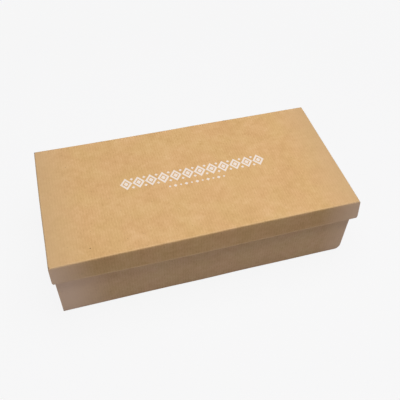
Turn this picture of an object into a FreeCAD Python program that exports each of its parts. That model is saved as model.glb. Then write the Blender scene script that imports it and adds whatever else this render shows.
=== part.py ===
import FreeCAD
import Part
import math
import os

# A two-bottle box of corrugated kraft board, closed. It is four folded sheets: a deep base tray,
# a shallow lid that slides down over it, a divider that parts the bottles and a rest for their necks.
# Millimetres. X runs along the bottles, Y from front to back, Z up, and Z = 0 is the underside.

# Board and folds
board = 1.6             # thickness of the board
crease_radius = 0.4     # inside radius of a fold
ply_gap = 0.2           # air between plies that are folded against each other

# Closed box
lid_length = 355.0      # over the lid's end skirts
lid_depth = 177.0       # over the lid's front and back skirts
box_height = 96.0       # underside of the base to the top of the lid
skirt_height = 30.5     # how far the lid comes down
fit_play = 0.8          # lid skirt to base wall, on each side
seat_play = 0.2         # underside of the lid to the rim of the base

# Rolled long walls
base_roll_inset = 2.4   # each end of a roll stops this far inside the tray's end
lid_roll_inset = 0.8
base_corner_round = 5.0 # rounded corners of the outer ply beside a roll
lid_corner_round = 2.4
foot_round = 1.2        # rounded corners of the outer ply beside a floor crease
base_ear_length = 62.0  # corner ears, tucked between the plies of a rolled wall
lid_ear_length = 44.0
ear_taper = 3.0         # how much an ear narrows, above and below, towards its end

# Locking tabs of the base's inner plies
tab_count = 3           # tabs on each long wall
tab_length = 26.0
tab_chamfer = 0.8       # on both corners of a tab's tip
tab_recess = 0.2        # tip of a tab to the underside of the floor
slot_play = 0.3         # slot to tab, all round

# Inserts
bottle_diameter = 75.0
neck_diameter = 31.0    # width of the notch that a neck lies in
insert_play = 0.6       # insert to the tray's walls, on each side
lay_gap = 0.2           # air under a sheet that lies on another
ridge_flat = 0.3        # flat on top of the divider's ridge, between its two folds
ridge_height = 72.0     # top of the divider's ridge above the underside of the box
rest_width = 36.0       # neck rest: size along the bottles
cap_room = 51.5         # neck rest to the end wall, for the ends of the necks
lap_height = 30.0       # height at which the divider and the neck rest interlock
lap_play = 0.4          # play in that joint, on each side

# Sizes that follow
mid_radius = crease_radius + board / 2
fold_size = crease_radius + board
rolled_wall = 3 * board + 2 * ply_gap
base_length = lid_length - 2 * (board + fit_play)
base_depth = lid_depth - 2 * (rolled_wall + fit_play)
base_height = box_height - board - seat_play
room_length = base_length - 2 * board
room_depth = base_depth - 2 * rolled_wall
ridge_half = mid_radius + ridge_flat / 2
ridge_outer = ridge_half + board / 2
rest_start = room_length / 2 - cap_room - rest_width
flap_floor = board + lay_gap
rest_foot = flap_floor + board + lay_gap
bottle_axis_height = flap_floor + board + bottle_diameter / 2
bay_middle = (ridge_outer + room_depth / 2) / 2

X_AXIS = FreeCAD.Vector(1, 0, 0)
Y_AXIS = FreeCAD.Vector(0, 1, 0)
Z_AXIS = FreeCAD.Vector(0, 0, 1)


def side_points(corners, offset):
    """Points of one side of a folded section: a start, then three points for each fold, then an end."""
    points = []
    for i in range(1, len(corners)):
        before, corner = corners[i - 1], corners[i]
        going = (corner - before).normalize()
        normal = Z_AXIS.cross(going)
        if i == 1:
            points.append(before + normal * offset)
        if i == len(corners) - 1:
            points.append(corner + normal * offset)
            continue
        leaving = (corners[i + 1] - corner).normalize()
        turn = math.copysign(1, Z_AXIS.dot(going.cross(leaving)))
        reach = mid_radius * math.tan(going.getAngle(leaving) / 2)
        centre = corner - going * reach + normal * (turn * mid_radius)
        radius = mid_radius - turn * offset
        for towards in (corner - going * reach, corner, corner + leaving * reach):
            points.append(centre + (towards - centre).normalize() * radius)
    return points


def section(corners):
    """Face of a sheet whose middle line passes the corners, each corner being a round fold."""
    corners = [FreeCAD.Vector(u, v, 0) for u, v in corners]
    edges = []
    sides = [side_points(corners, board / 2), side_points(corners, -board / 2)]
    for points in sides:
        edges.append(Part.makeLine(points[0], points[1]))
        for i in range(1, len(points) - 1, 3):
            edges.append(Part.Arc(points[i], points[i + 1], points[i + 2]).toShape())
            edges.append(Part.makeLine(points[i + 2], points[i + 3]))
    edges.append(Part.makeLine(sides[0][0], sides[1][0]))
    edges.append(Part.makeLine(sides[0][-1], sides[1][-1]))
    return Part.Face(Part.Wire(Part.__sortEdges__(edges)))


def folded_along_x(corners, half_width):
    """Strip with its section in the YZ plane, corners given as (y, z)."""
    face = section(corners)
    face.rotate(FreeCAD.Vector(), FreeCAD.Vector(1, 1, 1), 120)
    face.translate(X_AXIS * -half_width)
    return face.extrude(X_AXIS * (2 * half_width))


def folded_along_y(corners, half_width):
    """Strip with its section in the XZ plane, corners given as (x, z)."""
    face = section(corners)
    face.rotate(FreeCAD.Vector(), X_AXIS, 90)
    face.translate(Y_AXIS * -half_width)
    return face.extrude(Y_AXIS * (2 * half_width))


def folded_along_z(corners, low, high):
    """Strip with its section in the XY plane, corners given as (x, y)."""
    face = section(corners)
    face.translate(Z_AXIS * low)
    return face.extrude(Z_AXIS * (high - low))


def block(x_range, y_range, z_range):
    """Box between two values on each axis."""
    corner = FreeCAD.Vector(x_range[0], y_range[0], z_range[0])
    size = [high - low for low, high in (x_range, y_range, z_range)]
    return Part.makeBox(size[0], size[1], size[2], corner)


def around(middle, half):
    """Range of a given half width about a middle."""
    return (middle - half, middle + half)


def plate(half_length, z_low, z_high, y_middle, low_round, high_round):
    """Upright ply along X, with rounded lower and upper corners."""
    ply = block(around(0, half_length), around(y_middle, board / 2), (z_low, z_high))
    for z, radius in ((z_low, low_round), (z_high, high_round)):
        corners = [
            edge for edge in ply.Edges
            if all(abs(point.Point.z - z) < 1e-6 for point in edge.Vertexes)
            and abs(edge.Vertexes[0].Point.x - edge.Vertexes[1].Point.x) < 1e-6
            and abs(abs(edge.Vertexes[0].Point.x) - half_length) < 1e-6
        ]
        ply = ply.makeFillet(radius, corners)
    return ply


def ears(half_length, end_x, ear_y, height, ear_length):
    """Both ears of one end wall with their upright creases, for the end at +X."""
    low = board + ply_gap
    high = height - board - ply_gap
    tip_x = half_length - ear_length
    strip = folded_along_z(
        [(tip_x, -ear_y), (end_x, -ear_y), (end_x, ear_y), (tip_x, ear_y)], low, high
    )
    outline = Part.makePolygon([
        FreeCAD.Vector(half_length, -ear_y - board, low),
        FreeCAD.Vector(tip_x, -ear_y - board, low + ear_taper),
        FreeCAD.Vector(tip_x, -ear_y - board, high - ear_taper),
        FreeCAD.Vector(half_length, -ear_y - board, high),
        FreeCAD.Vector(half_length, -ear_y - board, low),
    ])
    return strip.common(Part.Face(outline).extrude(Y_AXIS * (2 * (ear_y + board))))


def tab_places(half_length):
    """Middles of the locking tabs along a long wall."""
    pitch = 2 * half_length / tab_count
    return [pitch * (i + 0.5) - half_length for i in range(tab_count)]


def locking_tab(x, y):
    """Tab below an inner ply, with its tip chamfered."""
    half = tab_length / 2
    top = board + 2 * ply_gap
    profile = [
        (x - half, top), (x - half, tab_recess + tab_chamfer), (x - half + tab_chamfer, tab_recess),
        (x + half - tab_chamfer, tab_recess), (x + half, tab_recess + tab_chamfer), (x + half, top),
    ]
    points = [FreeCAD.Vector(u, y - board / 2, v) for u, v in profile]
    return Part.Face(Part.makePolygon(points + points[:1])).extrude(Y_AXIS * board)


def locking_slot(x, y):
    """Cutter for the slot in the floor that a tab goes through."""
    return block(
        around(x, tab_length / 2 + slot_play), around(y, board / 2 + slot_play), (-board, board)
    )


def tray(length, depth, height, ear_length, roll_inset, corner_round, with_tabs):
    """Open tray folded from one sheet, standing on its floor.

    The end walls are one ply, and their ears turn the corners. Each long wall goes up outside the
    ears, rolls over at the rim and comes down inside them to the floor.
    """
    half_length = length / 2
    end_x = half_length - board / 2
    outer_y = depth / 2 - board / 2
    ear_y = outer_y - board - ply_gap
    inner_y = ear_y - board - ply_gap
    floor_z = board / 2
    rim_z = height - board / 2
    fold_top = height - fold_size
    wall_middle = height / 2

    floor = folded_along_x(
        [(-outer_y, wall_middle), (-outer_y, floor_z), (outer_y, floor_z), (outer_y, wall_middle)],
        half_length - fold_size,
    )
    ends = folded_along_y(
        [(-end_x, height), (-end_x, floor_z), (end_x, floor_z), (end_x, height)],
        ear_y - mid_radius,
    )
    right_ears = ears(half_length, end_x, ear_y, height, ear_length)
    left_ears = right_ears.mirror(FreeCAD.Vector(), X_AXIS)
    pieces = [ends, right_ears, left_ears]
    slots = []
    for side in (-1, 1):
        pieces.append(plate(half_length, fold_size, fold_top, side * outer_y, foot_round, corner_round))
        pieces.append(folded_along_x(
            [(side * outer_y, wall_middle), (side * outer_y, rim_z),
             (side * inner_y, rim_z), (side * inner_y, wall_middle)],
            half_length - roll_inset,
        ))
        inner_half = half_length - board - ply_gap
        pieces.append(plate(
            inner_half, board + ply_gap, fold_top, side * inner_y, crease_radius, corner_round
        ))
        if with_tabs:
            for x in tab_places(inner_half):
                pieces.append(locking_tab(x, side * inner_y))
                slots.append(locking_slot(x, side * inner_y))
    if slots:
        floor = floor.cut(slots)
        pieces[0] = ends.cut(slots)
    return floor.fuse(pieces).removeSplitter()


def base_tray():
    return tray(
        base_length, base_depth, base_height, base_ear_length, base_roll_inset, base_corner_round, True
    )


def lid():
    """The same kind of tray, upside down over the base."""
    shell = tray(
        lid_length, lid_depth, skirt_height, lid_ear_length, lid_roll_inset, lid_corner_round, False
    )
    shell.rotate(FreeCAD.Vector(), X_AXIS, 180)
    shell.translate(Z_AXIS * box_height)
    return shell


def bottle_divider():
    """Sheet folded into a two-ply ridge between two flaps that lie on the floor."""
    flap_z = flap_floor + board / 2
    flap_end = room_depth / 2 - insert_play
    top_z = ridge_height - board / 2
    sheet = folded_along_x(
        [(-flap_end, flap_z), (-ridge_half, flap_z), (-ridge_half, top_z),
         (ridge_half, top_z), (ridge_half, flap_z), (flap_end, flap_z)],
        room_length / 2 - insert_play,
    )
    notch = block(
        (rest_start - lap_play, rest_start + rest_width + lap_play),
        around(0, ridge_outer + board),
        (lap_height, ridge_height + board),
    )
    return sheet.cut(notch)


def neck_rest():
    """Folded bridge across the tray, notched below for the ridge and above for the necks."""
    near_x = rest_start + board / 2
    far_x = rest_start + rest_width - board / 2
    top_z = ridge_height - board / 2
    half_span = room_depth / 2 - insert_play
    bridge = folded_along_y(
        [(near_x, rest_foot), (near_x, top_z), (far_x, top_z), (far_x, rest_foot)], half_span
    )
    through_x = (rest_start - board, rest_start + rest_width + board)
    cutters = [block(through_x, around(0, ridge_outer + lap_play), (0, lap_height + lap_play))]
    for side in (-1, 1):
        middle = side * bay_middle
        cutters.append(Part.makeCylinder(
            neck_diameter / 2,
            through_x[1] - through_x[0],
            FreeCAD.Vector(through_x[0], middle, bottle_axis_height),
            X_AXIS,
        ))
        cutters.append(block(
            through_x, around(middle, neck_diameter / 2), (bottle_axis_height, ridge_height + board)
        ))
    return bridge.cut(cutters)


def single_solid(shape, name):
    """The one solid that a folded sheet has to be."""
    if len(shape.Solids) != 1 or not shape.isValid():
        raise ValueError(f"{name} is not one valid solid")
    return shape.Solids[0]


os.makedirs("parts", exist_ok=True)
for make in (base_tray, lid, bottle_divider, neck_rest):
    node = make.__name__
    solid = single_solid(make(), node)
    solid.exportStep(f"parts/{node}.step")
    box = solid.BoundBox
    print(f"{node}: {box.XLength:.1f} x {box.YLength:.1f} x {box.ZLength:.1f}, {len(solid.Faces)} faces")
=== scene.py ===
import math

import bmesh
import bpy
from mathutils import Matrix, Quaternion, Vector


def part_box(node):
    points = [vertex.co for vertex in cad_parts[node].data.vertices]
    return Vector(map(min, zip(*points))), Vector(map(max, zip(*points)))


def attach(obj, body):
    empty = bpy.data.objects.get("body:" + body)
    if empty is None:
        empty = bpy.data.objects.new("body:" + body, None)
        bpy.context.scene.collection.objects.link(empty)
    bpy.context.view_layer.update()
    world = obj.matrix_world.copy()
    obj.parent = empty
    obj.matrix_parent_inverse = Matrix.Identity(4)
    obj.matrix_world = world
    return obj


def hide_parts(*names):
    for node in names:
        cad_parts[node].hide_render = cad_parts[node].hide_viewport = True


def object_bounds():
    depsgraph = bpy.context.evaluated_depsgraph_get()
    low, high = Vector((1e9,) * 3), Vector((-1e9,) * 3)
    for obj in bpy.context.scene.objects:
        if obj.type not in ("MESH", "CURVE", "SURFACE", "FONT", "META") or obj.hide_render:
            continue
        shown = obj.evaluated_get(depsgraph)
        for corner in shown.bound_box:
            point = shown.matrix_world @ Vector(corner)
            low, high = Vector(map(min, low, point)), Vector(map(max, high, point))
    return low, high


# A two-piece bottle box of brown kraft board with its lid on, a divider and a neck rest inside.
# Metres. X runs along the bottles, Y from front to back, Z up, as in the frame.

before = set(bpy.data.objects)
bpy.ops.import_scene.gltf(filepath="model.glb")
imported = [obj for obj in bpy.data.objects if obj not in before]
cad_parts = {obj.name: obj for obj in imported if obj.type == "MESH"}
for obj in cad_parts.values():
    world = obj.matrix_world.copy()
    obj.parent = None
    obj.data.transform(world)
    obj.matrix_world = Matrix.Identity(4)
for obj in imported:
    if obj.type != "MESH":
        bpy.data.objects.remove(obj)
cad_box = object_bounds()
box_top = cad_box[1].z

# Board and folds, as the box is built
board = 0.0016
crease_radius = 0.0004
ply_gap = 0.0002
base_roll_inset = 0.0024    # how far the roll over the rim stays back from the wall's ends
lid_roll_inset = 0.0008
base_corner_round = 0.005   # rounding of the long walls' free corners
lid_corner_round = 0.0024
base_ear = 0.062            # length of the ears that turn the corners
lid_ear = 0.044
ear_taper = 0.003           # how much an ear narrows towards its end, above and below
tab_count = 3               # locking tabs along each long wall of the base
tab_length = 0.026
tab_chamfer = 0.0008
tab_recess = 0.0002         # how far the tabs stay above the underside
slot_play = 0.0003
ridge_flat = 0.0003         # flat between the two folds on the divider's ridge
lap_height = 0.030          # where the divider and the neck rest lap halfway
lap_play = 0.0004
neck_diameter = 0.031
bottle_diameter = 0.075
flute_pitch = 0.0032
liner = 0.00028             # thickness of each liner, as a cut edge shows it
core_depth = 0.0005         # how deep the cut flutes lie between the liners
wave_height = 0.0008        # how much the board waves, from hollow to crest
wave_length = 0.09

# How the used box is out of true: shift of each corner of the base and the lid, and of the middles of
# their ends. A corner is its end, its side and its level, each -1 or 1. With 0 as its end it is the
# middle of a long side, whose shift is how far it bows out of the line between its corners.
base_shifts = {
    (-1, -1, -1): (-0.0010, -0.0009, 0.0),
    (0, -1, -1): (0.0, 0.0004, 0.0),
    (1, -1, -1): (-0.0009, -0.0007, 0.0),
    (-1, 1, -1): (-0.0008, 0.0, 0.0),
    (1, 1, -1): (-0.0008, 0.0, 0.0),
    (0, -1, 1): (0.0, 0.0004, 0.0),
    (1, -1, 1): (0.0, 0.0005, 0.0),
}
lid_shifts = {
    (-1, -1, 1): (0.0004, -0.0005, 0.0),
    (-1, 0, 1): (-0.0001, 0.0, 0.0),
    (-1, 1, 1): (0.0002, 0.0011, 0.0),
    (0, -1, 1): (0.0, 0.0006, 0.0),
    (0, 1, 1): (0.0, -0.0004, 0.0),
    (1, -1, 1): (-0.0006, 0.0010, 0.0002),
    (1, 0, 1): (0.0006, 0.0, 0.0),
    (1, 1, 1): (0.0013, 0.0011, 0.0),
    (-1, -1, -1): (-0.0002, -0.0009, 0.0),
    (-1, 0, -1): (-0.0006, 0.0, 0.0),
    (-1, 1, -1): (-0.0002, 0.0003, 0.0),
    (0, -1, -1): (0.0, -0.0014, 0.0),
    (1, -1, -1): (0.0028, 0.0002, 0.0),
    (1, 0, -1): (0.0016, 0.0, 0.0),
    (1, 1, -1): (0.0012, 0.0004, 0.0),
}
crush_rows = (0.003, 0.005, 0.007, 0.009)   # where the board gets more rows for the soft corner
crush_core = 0.003                          # reach of the part that is pressed itself
crush_strokes = [                           # shift and reach of each stroke
    ((-0.0015, 0.0, 0.0), 0.009),
    ((-0.0005, 0.0006, 0.0006), 0.003),
]

# Print on the lid
band_count = 12
band_pitch = 0.0149
band_height = 0.0185
lozenge_share = 0.98        # width of a lozenge in its pitch
outline_width = 0.0023
inner_share = 0.38          # size of the solid lozenge inside an outlined one
fill_size = 0.0040          # the small ones between two lozenges, above and below
fill_share = 0.36
print_x = 0.004
band_y = 0.0072
dot_count = 11
dot_pitch = 0.0066
dot_sizes = (0.0030, 0.0046)
dots_y = -0.0089
ink_thickness = 0.00004
print_height = box_top + 0.002      # where the print is laid out before it goes onto the lid

lid_marks = [(-0.1315, -0.0740, 0.0006), (-0.1431, 0.0533, 0.0004)]     # dark spots in the paper

# Camera and light
eye = Vector((-0.1211, -0.4250, 0.5553))
aim = Vector((-0.0011, -0.0382, 0.096))
camera_roll = 1.8
focal_length = 48.2
sky_colour = (0.088, 0.087, 0.112)
lamps = [                           # place, size, power and colour
    ((0.12, -0.02, 1.12), 0.9, 11.4, (1.0, 0.98, 0.94)),
    ((-0.45, -0.95, 0.50), 0.9, 1.25, (0.90, 0.86, 0.96)),
]
floor_size = 12
floor_glow = 0.89                   # how much of the floor is plain white to the camera near the box
glow_start = 0.5                    # distance from which it grows, and over which it becomes all white
glow_reach = 2.0

# How finely the sheets are divided
fold_steps = 5
round_steps = 4
tray_columns = 26
tray_rows = 14
wall_rows = 4
divider_columns = 24
flap_rows = 6
ridge_rows = 6
rest_columns = 3
rest_rows = 20
leg_rows = 6
neck_steps = 64

same = 1e-5             # distance at which two coordinates count as the same
smooth_angle = 30       # degrees, up to which a fold is shaded smooth

# Material slots of a sheet: the paper outside, and the liners and the core in a cut edge
edge_slot = 1
core_slot = 2

# Sizes that follow
mid = board / 2
mid_radius = crease_radius + mid
fold_size = crease_radius + board
ply_pitch = board + ply_gap


def node_size(node):
    """Size of a CAD node."""
    low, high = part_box(node)
    return high - low


def choose(piece, test):
    """Selects the edges whose two ends pass a test, and nothing else."""
    bpy.ops.mesh.select_mode(type="EDGE")
    bpy.ops.mesh.select_all(action="DESELECT")
    mesh = bmesh.from_edit_mesh(piece.data)
    for edge in mesh.edges:
        if all(test(vertex.co) for vertex in edge.verts):
            edge.select_set(True)
    bmesh.update_edit_mesh(piece.data)


def near(value, target):
    """Whether two coordinates are the same."""
    return abs(value - target) < same


def choose_faces(piece, test):
    """Selects the faces that pass a test, and nothing else."""
    bpy.ops.mesh.select_mode(type="FACE")
    bpy.ops.mesh.select_all(action="DESELECT")
    mesh = bmesh.from_edit_mesh(piece.data)
    for face in mesh.faces:
        if test(face):
            face.select_set(True)
    bmesh.update_edit_mesh(piece.data)


def begin_sheet(name, size_x, size_y, centre, columns, rows):
    """Flat part of a sheet, lying level about its centre, left in edit mode."""
    bpy.ops.object.select_all(action="DESELECT")
    bpy.ops.mesh.primitive_grid_add(x_subdivisions=columns, y_subdivisions=rows, size=1, location=centre)
    piece = bpy.context.object
    piece.name = name
    piece.data.name = name
    bpy.ops.object.transform_apply(location=True, rotation=False, scale=False)
    bpy.ops.object.mode_set(mode="EDIT")
    bpy.ops.transform.resize(value=(size_x, size_y, 1), center_override=centre)
    return piece


def score(lines, normal):
    """Divides all the board along planes at these distances from the origin."""
    for distance in lines:
        bpy.ops.mesh.select_all(action="SELECT")
        bpy.ops.mesh.bisect(plane_co=Vector(normal) * distance, plane_no=normal)


def cut_away(piece, test):
    """Removes the faces whose middle passes a test."""
    choose_faces(piece, lambda face: test(face.calc_center_median()))
    bpy.ops.mesh.delete(type="FACE")


def pull(shift, stretch=(1, 1, 1), pivot=(0, 0, 0)):
    """Draws the selected edges out into new board and stretches the row that ends it."""
    bpy.ops.mesh.extrude_region_move(TRANSFORM_OT_translate={"value": shift})
    if stretch != (1, 1, 1):
        bpy.ops.transform.resize(value=stretch, center_override=pivot)


def pull_rows(shift, rows):
    """Draws the selected edges out in even rows, by the same shift altogether."""
    for _ in range(rows):
        pull([part / rows for part in shift])


def fold(centre, axis):
    """Turns the selected edges a quarter round an axis, by the right-hand rule, as a crease does."""
    bpy.ops.mesh.spin(steps=fold_steps, angle=-math.pi / 2, center=centre, axis=axis)


def fold_widening(centre, axis, half, widened):
    """A fold whose ends spread from one half length to another, so that the box's corner closes."""
    at = half
    for i in range(1, fold_steps + 1):
        bpy.ops.mesh.spin(steps=1, angle=-math.pi / 2 / fold_steps, center=centre, axis=axis)
        turn = math.pi / 2 * i / fold_steps
        wider = half + (widened - half) * math.sin(turn)
        bpy.ops.transform.resize(value=(wider / at, 1, 1), center_override=(0, 0, 0))
        at = wider


def rounded_rows(low, high, half, high_round, high_half):
    """Heights and half lengths of an upright ply's rows, whose upper corners are round."""
    rows = []
    for i in range(1, wall_rows + 1):
        rows.append((low + (high - high_round - low) * i / wall_rows, half))
    for i in range(1, round_steps + 1):
        turn = math.pi / 2 * i / round_steps
        length = half - high_round * (1 - math.cos(turn))
        if length <= high_half:
            break
        rows.append((high - high_round * (1 - math.sin(turn)), length))
    rise = math.sqrt(high_round ** 2 - (high_round - (half - high_half)) ** 2)
    rows.append((high - high_round + rise, high_half))
    rows.append((high, high_half))
    return rows


def rolled_wall(piece, side, half_length, half_depth, height, roll_inset, corner_round):
    """Long wall of a tray: up outside the ears, over at the rim and down inside them."""
    axis = (side, 0, 0)
    foot_y = side * (half_depth - fold_size)
    choose(piece, lambda co: near(co.y, foot_y) and near(co.z, mid))
    fold_widening((0, foot_y, mid + mid_radius), axis, half_length - fold_size, half_length)
    at, half = fold_size, half_length
    outer_rows = rounded_rows(
        fold_size, height - fold_size, half_length, corner_round, half_length - roll_inset
    )
    for z, wanted in outer_rows:
        pull((0, 0, z - at), (wanted / half, 1, 1))
        at, half = z, wanted
    outer_y = half_depth - mid
    inner_y = outer_y - 2 * ply_pitch
    rim_z = height - mid - mid_radius
    fold((0, side * (outer_y - mid_radius), rim_z), axis)
    pull((0, -side * (2 * ply_pitch - 2 * mid_radius), 0))
    fold((0, side * (inner_y + mid_radius), rim_z), axis)
    inner_half = half_length - ply_pitch
    slant = abs(inner_half - half)
    pull((0, 0, -slant), (inner_half / half, 1, 1))
    pull_rows((0, 0, -(height - fold_size - slant - ply_pitch)), wall_rows)


def end_wall(piece, end, half_length, half_depth, height, ear_length):
    """Single end wall of a tray, with an ear that turns each of its corners."""
    foot_x = end * (half_length - fold_size)
    corner_y = half_depth - mid - ply_pitch - mid_radius
    wall_x = end * (half_length - mid)
    choose(piece, lambda co: near(co.x, foot_x) and near(co.z, mid))
    fold((foot_x, 0, mid + mid_radius), (0, -end, 0))
    choose(piece, lambda co: near(co.x, wall_x) and near(co.z, fold_size) and abs(co.y) < corner_y + same)
    ear_top = height - ply_pitch
    pull_rows((0, 0, ear_top - fold_size), wall_rows)
    pull((0, 0, ply_pitch))
    for side in (-1, 1):
        choose(piece, lambda co: near(co.x, wall_x) and near(co.y, side * corner_y)
               and fold_size - same < co.z < ear_top + same)
        fold((wall_x - end * mid_radius, side * corner_y, 0), (0, 0, end * side))
        straight = ear_length - fold_size
        middle = (ear_top + fold_size) / 2
        tall = (ear_top - fold_size) / 2
        for _ in range(wall_rows):
            narrower = tall - ear_taper / wall_rows
            pull((-end * straight / wall_rows, 0, 0), (1, 1, narrower / tall), (0, 0, middle))
            tall = narrower


def tab_places(half_length):
    """Middles of the locking tabs along a long wall."""
    pitch = 2 * half_length / tab_count
    return [pitch * (i + 0.5) - half_length for i in range(tab_count)]


def punch_slots(piece, half_length, half_depth):
    """Slots in the floor, under the inner plies of the long walls."""
    inner_y = half_depth - mid - 2 * ply_pitch
    slot_half = tab_length / 2 + slot_play
    slot_deep = mid + slot_play
    places = tab_places(half_length - ply_pitch)
    score([x + way * slot_half for x in places for way in (-1, 1)], (1, 0, 0))
    score([side * inner_y + way * slot_deep for side in (-1, 1) for way in (-1, 1)], (0, 1, 0))
    cut_away(piece, lambda co: abs(abs(co.y) - inner_y) < slot_deep
             and any(abs(co.x - x) < slot_half for x in places))


def lock_tabs(piece, side, half_length, half_depth):
    """Tabs that the inner ply of a long wall puts into the floor's slots."""
    inner_y = side * (half_depth - mid - 2 * ply_pitch)
    foot = board + ply_gap
    slot_half = tab_length / 2 + slot_play
    for x in tab_places(half_length - ply_pitch):
        choose(piece, lambda co: near(co.y, inner_y) and near(co.z, foot)
               and abs(co.x - x) < slot_half + slot_play)
        pull((0, 0, tab_recess + tab_chamfer - foot), (tab_length / 2 / slot_half, 1, 1), (x, 0, 0))
        pull((0, 0, -tab_chamfer), (1 - 2 * tab_chamfer / tab_length, 1, 1), (x, 0, 0))


def fold_tray(name, size, ear_length, roll_inset, corner_round, with_tabs):
    """A tray folded from one blank, still without thickness, left in edit mode."""
    length, depth, height = size
    half_length, half_depth = length / 2, depth / 2
    flat_size = (length - 2 * fold_size, depth - 2 * fold_size)
    piece = begin_sheet(name, *flat_size, (0, 0, mid), tray_columns, tray_rows)
    corner_y = half_depth - mid - ply_pitch - mid_radius
    score((-corner_y, corner_y), (0, 1, 0))
    if with_tabs:
        punch_slots(piece, half_length, half_depth)
    for side in (-1, 1):
        rolled_wall(piece, side, half_length, half_depth, height, roll_inset, corner_round)
        if with_tabs:
            lock_tabs(piece, side, half_length, half_depth)
    for end in (-1, 1):
        end_wall(piece, end, half_length, half_depth, height, ear_length)
    return piece


def apply_modifier(piece, kind, **settings):
    """Adds a modifier with its settings and applies it."""
    bpy.ops.object.select_all(action="DESELECT")
    piece.select_set(True)
    bpy.context.view_layer.objects.active = piece
    modifier = piece.modifiers.new(kind.lower(), kind)
    for name, value in settings.items():
        setattr(modifier, name, value)
    bpy.ops.object.modifier_apply(modifier=modifier.name)


def add_slots(piece):
    """Empty material slots for the outside, the cut liners and the cut core."""
    for _ in range(core_slot + 1):
        piece.data.materials.append(None)


def thicken(piece):
    """Gives a folded sheet its thickness."""
    bpy.ops.mesh.select_all(action="SELECT")
    bpy.ops.mesh.remove_doubles(threshold=same / 10)
    bpy.ops.object.mode_set(mode="OBJECT")
    add_slots(piece)
    apply_modifier(
        piece, "SOLIDIFY", thickness=board, offset=0, use_even_offset=True, material_offset_rim=edge_slot
    )


def open_cut_edges(piece):
    """Sinks the middle of each cut edge between the board's two liners."""
    bpy.ops.object.select_all(action="DESELECT")
    bpy.context.view_layer.objects.active = piece
    piece.select_set(True)
    bpy.ops.object.mode_set(mode="EDIT")
    choose_faces(piece, lambda face: face.material_index == edge_slot)
    bpy.ops.mesh.inset(thickness=liner, depth=-core_depth)
    piece.active_material_index = core_slot
    bpy.ops.object.material_slot_assign()
    bpy.ops.object.mode_set(mode="OBJECT")


def cage_shift(shifts, end, side, level):
    """Shift of a cage's corner, or of the middle between its two ends, with the bow."""
    own = Vector(shifts.get((end, side, level), (0, 0, 0)))
    if end:
        return own
    return own + (cage_shift(shifts, -1, side, level) + cage_shift(shifts, 1, side, level)) / 2


def set_out_of_true(piece, node, shifts):
    """Moves the corners of a piece by small shifts, with a cage about its CAD node."""
    low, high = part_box(node)
    bpy.ops.object.select_all(action="DESELECT")
    bpy.ops.object.add(type="LATTICE", location=(low + high) / 2)
    cage = bpy.context.object
    cage.scale = high - low
    cage.data.points_u, cage.data.points_v, cage.data.points_w = 3, 3, 2
    cage.data.interpolation_type_u = "KEY_CARDINAL"
    cage.data.interpolation_type_v = "KEY_CARDINAL"
    cage.data.interpolation_type_w = "KEY_LINEAR"
    for point in cage.data.points:
        shift = cage_shift(shifts, *(round(2 * part) for part in point.co))
        point.co_deform += Vector(move / part for move, part in zip(shift, cage.scale))
    apply_modifier(piece, "LATTICE", object=cage)
    bpy.data.objects.remove(cage)


def finish_sheet(piece, node, body, shaped_like, shifts):
    """Slight waves of real board, smooth folds, and the place of the CAD node."""
    open_cut_edges(piece)
    set_out_of_true(piece, shaped_like, shifts)
    apply_modifier(
        piece, "DISPLACE", texture=waves, strength=wave_height, mid_level=0.5,
        direction="RGB_TO_XYZ", texture_coords="LOCAL",
    )
    bpy.ops.object.shade_smooth_by_angle(angle=math.radians(smooth_angle))
    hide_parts(node)
    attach(piece, body)


def crush(piece, corner):
    """Presses in a corner, in strokes that fade out over their reach."""
    bpy.ops.object.mode_set(mode="EDIT")
    choose(piece, lambda co: (co - corner).length < crush_core)
    for shift, reach in crush_strokes:
        bpy.ops.transform.translate(
            value=shift, use_proportional_edit=True,
            proportional_size=reach, proportional_edit_falloff="SMOOTH",
        )
    bpy.ops.object.mode_set(mode="OBJECT")


def make_base():
    """The deep tray."""
    size = node_size("base_tray")
    corner = Vector((size.x / 2, -size.y / 2, 0))
    piece = fold_tray("base_board", size, base_ear, base_roll_inset, base_corner_round, True)
    score([corner.x - step for step in crush_rows], (1, 0, 0))
    score([corner.y + step for step in crush_rows], (0, 1, 0))
    score(crush_rows, (0, 0, 1))
    thicken(piece)
    crush(piece, corner)
    finish_sheet(piece, "base_tray", "base", "base_tray", base_shifts)
    return piece


def make_lid():
    """The shallow tray, upside down."""
    size = node_size("lid")
    piece = fold_tray("lid_board", size, lid_ear, lid_roll_inset, lid_corner_round, False)
    bpy.ops.mesh.select_all(action="SELECT")
    bpy.ops.transform.rotate(value=math.pi, orient_axis="X", center_override=(0, 0, 0))
    bpy.ops.transform.translate(value=(0, 0, box_top))
    thicken(piece)
    finish_sheet(piece, "lid", "lid", "lid", lid_shifts)
    return piece


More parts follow.
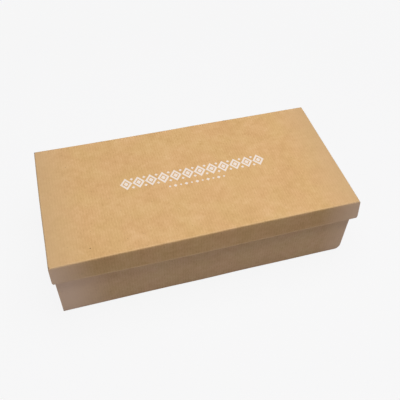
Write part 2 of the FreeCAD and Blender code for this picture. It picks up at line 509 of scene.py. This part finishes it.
def make_divider():
    """Two flaps on the floor and a double ridge between them, notched for the neck rest."""
    low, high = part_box("bottle_divider")
    flap_z = low.z + mid
    ridge_half = mid_radius + ridge_flat / 2
    foot_y = ridge_half + mid_radius
    flap = high.y - foot_y
    rise = high.z - mid - flap_z - 2 * mid_radius
    bend_z = high.z - mid - mid_radius
    piece = begin_sheet(
        "divider_board", high.x - low.x, flap, (0, -foot_y - flap / 2, flap_z), divider_columns, flap_rows
    )
    choose(piece, lambda co: near(co.y, -foot_y))
    fold((0, -foot_y, flap_z + mid_radius), (1, 0, 0))
    pull_rows((0, 0, rise), ridge_rows)
    fold((0, -ridge_half + mid_radius, bend_z), (-1, 0, 0))
    pull((0, ridge_flat, 0))
    fold((0, ridge_half - mid_radius, bend_z), (-1, 0, 0))
    pull_rows((0, 0, -rise), ridge_rows)
    fold((0, foot_y, flap_z + mid_radius), (1, 0, 0))
    pull_rows((0, flap, 0), flap_rows)
    rest_low, rest_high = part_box("neck_rest")
    notch = (rest_low.x - lap_play, rest_high.x + lap_play)
    score(notch, (1, 0, 0))
    score([lap_height], (0, 0, 1))
    cut_away(piece, lambda co: notch[0] < co.x < notch[1] and co.z > lap_height)
    thicken(piece)
    finish_sheet(piece, "bottle_divider", "base", "base_tray", base_shifts)
    return piece


def cut_with(piece, cutter):
    """Takes a cutter out of a piece. The new faces are cut edges."""
    add_slots(cutter)
    for face in cutter.data.polygons:
        face.material_index = edge_slot
    apply_modifier(piece, "BOOLEAN", object=cutter, operation="DIFFERENCE", solver="EXACT")
    bpy.data.objects.remove(cutter)


def cut_block(piece, centre, size):
    """Takes a rectangular block out of a piece."""
    bpy.ops.mesh.primitive_cube_add(size=1, location=centre)
    cutter = bpy.context.object
    cutter.scale = size
    cut_with(piece, cutter)


def make_neck_rest():
    """Bridge across the tray with a notch for each neck, slotted below for the ridge."""
    low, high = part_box("neck_rest")
    width = high.x - low.x
    middle_x = (high.x + low.x) / 2
    top_z = high.z - mid
    piece = begin_sheet(
        "neck_rest_board", width - 2 * fold_size, high.y - low.y, (middle_x, 0, top_z),
        rest_columns, rest_rows,
    )
    for end in (-1, 1):
        bend_x = middle_x + end * (width / 2 - fold_size)
        choose(piece, lambda co: near(co.x, bend_x) and near(co.z, top_z))
        fold((bend_x, 0, top_z - mid_radius), (0, end, 0))
        pull_rows((0, 0, low.z - top_z + mid_radius), leg_rows)
    thicken(piece)
    ridge_outer = mid_radius + ridge_flat / 2 + mid
    room_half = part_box("base_tray")[1].y - 3 * board - 2 * ply_gap
    bay_middle = (ridge_outer + room_half) / 2
    axis_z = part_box("bottle_divider")[0].z + board + bottle_diameter / 2
    through = width + 2 * board
    for side in (-1, 1):
        bpy.ops.mesh.primitive_cylinder_add(
            vertices=neck_steps, radius=neck_diameter / 2, depth=through,
            location=(middle_x, side * bay_middle, axis_z), rotation=(0, math.pi / 2, 0),
        )
        cut_with(piece, bpy.context.object)
        cut_block(piece, (middle_x, side * bay_middle, axis_z + neck_diameter),
                  (through, neck_diameter, 2 * neck_diameter))
    cut_block(piece, (middle_x, 0, 0), (through, 2 * (ridge_outer + lap_play), 2 * (lap_height + lap_play)))
    finish_sheet(piece, "neck_rest", "base", "base_tray", base_shifts)
    return piece


class Field:
    """A shader value in Python expressions: each operation adds the Math node it needs."""

    def __init__(self, finish, socket):
        self.finish = finish
        self.socket = socket

    def math(self, operation, *others):
        return self.finish.add("ShaderNodeMath", [self, *others], operation=operation)

    def between(self, low, high):
        """The value kept between two limits."""
        return self.math("MAXIMUM", low).math("MINIMUM", high)

    def __add__(self, other):
        return self.math("ADD", other)

    __radd__ = __add__

    def __sub__(self, other):
        return self.math("SUBTRACT", other)

    def __rsub__(self, other):
        return self.finish.add("ShaderNodeMath", [other, self], operation="SUBTRACT")

    def __mul__(self, other):
        return self.math("MULTIPLY", other)

    __rmul__ = __mul__

    def __truediv__(self, other):
        return self.math("DIVIDE", other)

    def __pow__(self, other):
        return self.math("POWER", other)

    def __abs__(self):
        return self.math("ABSOLUTE")

    def __gt__(self, other):
        return self.math("GREATER_THAN", other)

    def __lt__(self, other):
        return self.math("LESS_THAN", other)


class Finish:
    """A material made of nodes."""

    def __init__(self, name):
        self.material = bpy.data.materials.new(name)
        self.material.use_nodes = True
        self.tree = self.material.node_tree
        self.tree.nodes.clear()
        self.surface = self.tree.nodes.new("ShaderNodeOutputMaterial").inputs["Surface"]

    def add(self, kind, inputs=(), output=0, **settings):
        """One node, its settings first, then its inputs by place or name. Gives one output."""
        node = self.tree.nodes.new(kind)
        for name, value in settings.items():
            if name == "stops":
                self.set_stops(node.color_ramp, value)
            else:
                setattr(node, name, value)
        named = inputs.items() if isinstance(inputs, dict) else enumerate(inputs)
        for key, value in named:
            if isinstance(value, Field):
                self.tree.links.new(value.socket, node.inputs[key])
            else:
                node.inputs[key].default_value = value
        return Field(self, node.outputs[output])

    def set_stops(self, ramp, stops):
        while len(ramp.elements) < len(stops):
            ramp.elements.new(0.5)
        for element, (position, colour) in zip(ramp.elements, stops):
            element.position = position
            element.color = colour

    def parts(self, vector):
        """The three numbers of a vector."""
        split = self.add("ShaderNodeSeparateXYZ", [vector]).socket.node
        return [Field(self, socket) for socket in split.outputs]

    def vector(self, *numbers):
        return self.add("ShaderNodeCombineXYZ", numbers)

    def noise(self, place, scale, detail=2.0):
        return self.add("ShaderNodeTexNoise", {"Vector": place, "Scale": scale, "Detail": detail})

    def mix(self, amount, first, second, **settings):
        """Mix of two colours."""
        return self.add(
            "ShaderNodeMix", {0: amount, 6: first, 7: second}, output=2, data_type="RGBA", **settings
        )

    def coat(self, colour, roughness, height):
        """Joins everything in the shader. Height is in metres."""
        bump = self.add("ShaderNodeBump", {"Strength": 1.0, "Distance": 1.0, "Height": height})
        shader = self.add("ShaderNodeBsdfPrincipled", {
            "Base Color": colour, "Roughness": roughness, "Normal": bump, "Specular IOR Level": 0.25,
        })
        return self.show(shader)

    def show(self, shader):
        self.tree.links.new(shader.socket, self.surface)
        return self.material


def seen(red, green, blue):
    """A colour as it is seen on a screen, 0 to 255, as the shader needs it."""
    return tuple(((part / 255 + 0.055) / 1.055) ** 2.4 for part in (red, green, blue)) + (1.0,)


# Tones of the paper, from its darkest fibres to its lightest, of what shows beside it, of its wear, and of
# the light and shade painted onto it
lid_tones = (seen(199, 156, 102), seen(220, 179, 125), seen(235, 198, 149))
# The base's tones are lighter than the lid's, partly as another sheet and partly as painted light for the
# floor's bounce on the base.
base_tones_and_painted_light = (seen(214, 174, 124), seen(234, 196, 147), seen(247, 214, 170))
insert_tones = (seen(188, 150, 103), seen(209, 172, 125), seen(225, 191, 147))
liner_tones = (seen(176, 139, 95), seen(214, 180, 135))     # in a cut edge
core_shade_and_wall_tones = (seen(108, 79, 50), seen(178, 140, 97))        # painted shade in the hollows of the cut flutes, and their walls
ink_tones = (seen(243, 232, 222), seen(224, 194, 158))      # full and thin
floor_colour = seen(175, 175, 183)
speck_colour = seen(128, 92, 56)
mark_colour = seen(92, 66, 44)
rubbed_and_highlight_colour = seen(252, 217, 164)     # folds that have lost some fibre, and a painted highlight on them
painted_end_light_colour = seen(255, 222, 186)      # painted light on the box's front near its ends
painted_end_shade_colour = seen(207, 174, 131)     # painted shade on level board near the box's ends
end_light_x = 0.130                         # where it begins towards the ends, and on an end towards the front
end_light_y = 0.042
end_light_reach = 0.045
squarely = 0.7                          # how much a face looks along an axis when it counts as facing it


def normal_parts(finish):
    """How much the surface faces along X, Y and Z, each from -1 to 1."""
    return finish.parts(finish.add("ShaderNodeNewGeometry", output="Normal"))


def sheet_place(finish):
    """Places on the board in metres: the object's own, across the flutes and along them."""
    place = finish.add("ShaderNodeTexCoord", output="Object")
    x, y, z = finish.parts(place)
    normal_x, normal_y, _ = normal_parts(finish)
    on_end = abs(normal_x) > squarely
    on_front = abs(normal_y) > squarely
    across = x * (1 - on_end) + z * on_end
    along = y * (1 - on_front) + z * on_front
    return place, across, along


def flute_lines(across):
    """Wave of the flutes that shows through the liner, from -1 to 1."""
    return (across * (2 * math.pi / flute_pitch)).math("SINE")


def paper_fibres(finish, across, along):
    """Fibres of the paper, drawn out along the flutes."""
    return finish.noise(finish.vector(across * 1300, along * 260, 0), 1, 3)


def paper_tone(finish, place, across, along, tones):
    """Unbleached paper with clouds, fibres and faint flute lines: its colour, roughness and relief."""
    dark, middle, light = tones
    flutes = flute_lines(across)
    clouds = finish.noise(place, 22, 3)
    blotches = finish.noise(place, 130, 2)
    fibres = paper_fibres(finish, across, along)
    pulp = finish.noise(finish.vector(across * 4000, along * 1800, 0), 1, 1)
    shade = (0.5 + (clouds - 0.5) * 0.35 + (blotches - 0.5) * 0.48 + (fibres - 0.5) * 0.7
             + (pulp - 0.5) * 0.5 + flutes * 0.045)
    colour = finish.add("ShaderNodeValToRGB", [shade], stops=[(0.1, dark), (0.5, middle), (0.9, light)])
    tint = finish.add(
        "ShaderNodeValToRGB", [finish.noise(place, 34, 1)],
        stops=[(0.35, (0.985, 1.0, 0.965, 1.0)), (0.65, (1.0, 0.980, 0.990, 1.0))],
    )
    colour = finish.mix(1.0, colour, tint, blend_type="MULTIPLY")
    relief = flutes * 0.000008 + fibres * 0.00003 + pulp * 0.000012 + blotches * 0.00006
    return colour, 0.84 + fibres * 0.12, relief


def add_specks(finish, colour, across, along):
    """Scattered dark specks in the paper."""
    cells = finish.add(
        "ShaderNodeTexVoronoi", {"Vector": finish.vector(across, along, 0), "Scale": 110.0},
        voronoi_dimensions="2D",
    )
    chance = finish.parts(Field(finish, cells.socket.node.outputs["Color"]))[0]
    speck = cells < (chance - 0.62) * 0.13
    return finish.mix(speck * 0.55, colour, speck_colour)


def add_marks(finish, colour, place, marks):
    """Dark spots on the box's top, each with its place and radius."""
    x, y, z = finish.parts(place)
    for mark_x, mark_y, radius in marks:
        away = ((x - mark_x) ** 2 + (y - mark_y) ** 2) ** 0.5
        spot = (1.5 - away / radius).between(0, 1) * (z > box_top - mid)
        colour = finish.mix(spot * 0.9, colour, mark_colour)
    return colour


def rub_and_highlight_folds(finish, colour, place, rim_height):
    """Folds made lighter, partly as rubbed wear and partly as a painted highlight: along the top's edges,
    at the corners and on the rim at a height.
    """
    z = finish.parts(place)[2]
    facing_x, facing_y, facing_z = [abs(part) for part in normal_parts(finish)]
    bend = 1 - facing_x.math("MAXIMUM", facing_y).math("MAXIMUM", facing_z)
    crown = (bend * 4).between(0, 0.35) * (facing_z * 5 - 3).between(0, 1)
    corner = (bend * 1.6).between(0, 0.5) * (facing_z < 0.2)
    rim = (1.75 - abs(z - rim_height) / fold_size).between(0, 1) * (1.4 - facing_z * 1.4).between(0, 1)
    # Partly rubbed wear, partly a painted highlight standing in for light that the rim's downward fold
    # doesn't catch.
    wear_and_highlight = crown + corner + rim * (0.45 + finish.noise(place, 260, 2) * 0.6)
    return finish.mix(wear_and_highlight.between(0, 1), colour, rubbed_and_highlight_colour)


def paint_end_light_and_shade(finish, colour, place, unlit_middle, end_light_most):
    """Painted light: the front gets lighter towards its ends, from an unlit middle, and painted shade makes
    level board duller there.
    """
    x, y, _ = finish.parts(place)
    normal_x, normal_y, normal_z = normal_parts(finish)
    level = abs(normal_z)
    on_end = abs(normal_x) > squarely
    on_front = (y < 0) * (normal_y < 0.3)
    past = (abs(x - unlit_middle) - end_light_x) * (1 - on_end) - (y + end_light_y) * on_end
    lit_end = (past / end_light_reach).between(0, 1)
    # Painted light on the front's ends, and painted shade on level board there, chosen by which way the
    # surface faces.
    colour = finish.mix(lit_end * on_front * (1 - level) * end_light_most, colour, painted_end_light_colour)
    return finish.mix(lit_end * level * 0.6, colour, painted_end_shade_colour)


def kraft_face(name, tones, rim_height, end_lighting=(0.0, 0.0), marks=()):
    """Liner of the board, of unbleached kraft paper with what use has done to it, and with painted light on
    its folds and near the box's ends.

    End lighting is the middle of the front's unlit part, and how much painted light the front's ends get.
    """
    finish = Finish(name)
    place, across, along = sheet_place(finish)
    colour, roughness, relief = paper_tone(finish, place, across, along, tones)
    colour = add_specks(finish, colour, across, along)
    colour = add_marks(finish, colour, place, marks)
    colour = rub_and_highlight_folds(finish, colour, place, rim_height)
    colour = paint_end_light_and_shade(finish, colour, place, *end_lighting)
    return finish.coat(colour, roughness, relief)


def cut_liner(name):
    """Cut edge of the liners."""
    finish = Finish(name)
    place = finish.add("ShaderNodeTexCoord", output="Object")
    grain = finish.noise(place, 900, 2)
    colour = finish.mix(grain, *liner_tones)
    return finish.coat(colour, 0.9, grain * 0.00005)


def cut_core(name):
    """Cut flutes between the liners: pale walls, with painted shade in the hollows of their open channels.
    """
    finish = Finish(name)
    place, across, _ = sheet_place(finish)
    wall = abs(flute_lines(across)) ** 2
    ragged = finish.noise(place, 700, 2)
    # The hollows' dark colour is painted shade.
    amount = (wall * 0.8 + ragged * 0.3).between(0, 1)
    colour = finish.mix(amount, *core_shade_and_wall_tones)
    return finish.coat(colour, 0.95, wall * 0.0002)


def white_ink(name):
    """White print, thin where the flutes' hollows took less ink."""
    finish = Finish(name)
    place, across, along = sheet_place(finish)
    fibres = paper_fibres(finish, across, along)
    thin = flute_lines(across) * 0.12 + (fibres - 0.4) * 1.1 + (finish.noise(place, 420, 2) - 0.5) * 0.8
    colour = finish.mix(thin.between(0, 1) * 0.6, *ink_tones)
    return finish.coat(colour, 0.8 + fibres * 0.1, fibres * 0.00003)


def dress(piece, *materials):
    """Gives a piece its materials, slot by slot."""
    for slot, material in zip(piece.material_slots, materials):
        slot.material = material


def lozenge(centre, width, height, hollow=0.0):
    """Flat four-cornered shape on the lid, with a hole where it is only outlined."""
    bpy.ops.object.select_all(action="DESELECT")
    bpy.ops.mesh.primitive_circle_add(
        vertices=4, radius=0.5, fill_type="NGON", location=(centre[0], centre[1], print_height)
    )
    piece = bpy.context.object
    piece.scale = (width, height, 1)
    bpy.ops.object.transform_apply(location=True, rotation=True, scale=True)
    if hollow:
        bpy.ops.object.mode_set(mode="EDIT")
        bpy.ops.mesh.select_all(action="SELECT")
        bpy.ops.mesh.inset(thickness=hollow, depth=0)
        bpy.ops.mesh.delete(type="FACE")
        bpy.ops.object.mode_set(mode="OBJECT")
    return piece


def make_ornament(lid):
    """Printed band of lozenges in the middle of the lid, with a short line of dots below it."""
    shapes = []
    first = -(band_count - 1) / 2
    for i in range(band_count):
        x = print_x + (first + i) * band_pitch
        shapes.append(lozenge((x, band_y), band_pitch * lozenge_share, band_height, outline_width))
        shapes.append(lozenge((x, band_y), band_pitch * inner_share, band_height * inner_share))
        if i:
            for way in (-1, 1):
                fill_y = band_y + way * band_height * fill_share
                shapes.append(lozenge((x - band_pitch / 2, fill_y), fill_size, fill_size))
    for i in range(dot_count):
        x = print_x + (i - (dot_count - 1) / 2) * dot_pitch
        size = dot_sizes[i % 2]
        shapes.append(lozenge((x, dots_y), size, size))
    bpy.ops.object.select_all(action="DESELECT")
    for shape in shapes:
        shape.select_set(True)
    bpy.context.view_layer.objects.active = shapes[0]
    bpy.ops.object.join()
    piece = bpy.context.object
    piece.name = "lid_print"
    piece.data.name = "lid_print"
    piece.data.materials.append(None)
    apply_modifier(
        piece, "SHRINKWRAP", target=lid, wrap_method="PROJECT", use_project_z=True,
        use_negative_direction=True, use_positive_direction=True, offset=ink_thickness / 2,
    )
    apply_modifier(piece, "SOLIDIFY", thickness=ink_thickness, offset=0)
    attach(piece, "lid")
    return piece


def make_floor():
    """Pale paper floor that the camera sees nearly white, more so far from the box."""
    bpy.ops.object.select_all(action="DESELECT")
    bpy.ops.mesh.primitive_plane_add(size=floor_size, location=(0, 0, -wave_height / 2))
    floor = bpy.context.object
    floor.name = "floor"
    finish = Finish("floor_paper")
    x, y, _ = finish.parts(finish.add("ShaderNodeTexCoord", output="Object"))
    far = (((x * x + y * y) ** 0.5 - glow_start) / glow_reach).between(0, 1)
    direct = finish.add("ShaderNodeLightPath", output="Is Camera Ray")
    paper = finish.add("ShaderNodeBsdfPrincipled", {
        "Base Color": floor_colour, "Roughness": 0.9, "Specular IOR Level": 0.2,
    })
    white = finish.add("ShaderNodeEmission", {"Color": (1, 1, 1, 1)})
    glow = direct * (floor_glow + far * (1 - floor_glow))
    floor.data.materials.append(finish.show(finish.add("ShaderNodeMixShader", [glow, paper, white])))


def make_sky():
    """Faint light from all round, and a white backdrop that only the camera sees."""
    world = bpy.data.worlds.new("studio")
    world.use_nodes = True
    tree = world.node_tree
    path = tree.nodes.new("ShaderNodeLightPath")
    sky = tree.nodes.new("ShaderNodeMix")
    sky.data_type = "RGBA"
    sky.inputs[6].default_value = (*sky_colour, 1)
    sky.inputs[7].default_value = (1, 1, 1, 1)
    tree.links.new(path.outputs["Is Camera Ray"], sky.inputs[0])
    tree.links.new(sky.outputs[2], tree.nodes["Background"].inputs["Color"])
    bpy.context.scene.world = world


def place_lamps():
    """Soft lamps, each turned towards the box."""
    for place, size, power, colour in lamps:
        bpy.ops.object.light_add(type="AREA", location=place)
        lamp = bpy.context.object
        lamp.rotation_euler = Vector(place).to_track_quat("Z", "Y").to_euler()
        lamp.data.size = size
        lamp.data.energy = power
        lamp.data.color = colour


def place_camera():
    """Camera that looks down at the box from the left front, slightly rolled."""
    bpy.ops.object.camera_add(location=eye)
    camera = bpy.context.object
    camera.rotation_mode = "QUATERNION"
    level_view = (aim - eye).to_track_quat("-Z", "Y")
    camera.rotation_quaternion = level_view @ Quaternion((0, 0, 1), math.radians(camera_roll))
    camera.data.lens = focal_length
    camera.data.clip_start = 0.01
    bpy.context.scene.camera = camera
    bpy.context.scene.view_settings.view_transform = "Standard"


waves = bpy.data.textures.new("board_waves", "CLOUDS")
waves.cloud_type = "COLOR"
waves.noise_scale = wave_length
waves.noise_depth = 1

base_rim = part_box("base_tray")[1].z
lid_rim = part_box("lid")[0].z
lid_end_lighting = (0.0, 0.9)         # middle of the front's unlit part, and how much painted light its ends get
base_end_lighting = (0.012, 1.0)
lid_face = kraft_face("lid_face", lid_tones, lid_rim, lid_end_lighting, lid_marks)
base_face = kraft_face("base_face", base_tones_and_painted_light, base_rim, base_end_lighting)
inside_face = kraft_face("insert_face", insert_tones, base_rim)
liner_edge = cut_liner("kraft_cut_liner")
core_edge = cut_core("kraft_cut_core")

base = make_base()
lid = make_lid()
divider = make_divider()
neck_rest = make_neck_rest()
dress(base, base_face, liner_edge, core_edge)
dress(lid, lid_face, liner_edge, core_edge)
dress(divider, inside_face, liner_edge, core_edge)
dress(neck_rest, inside_face, liner_edge, core_edge)
ornament = make_ornament(lid)
dress(ornament, white_ink("white_ink"))
make_floor()
make_sky()
place_lamps()
place_camera()
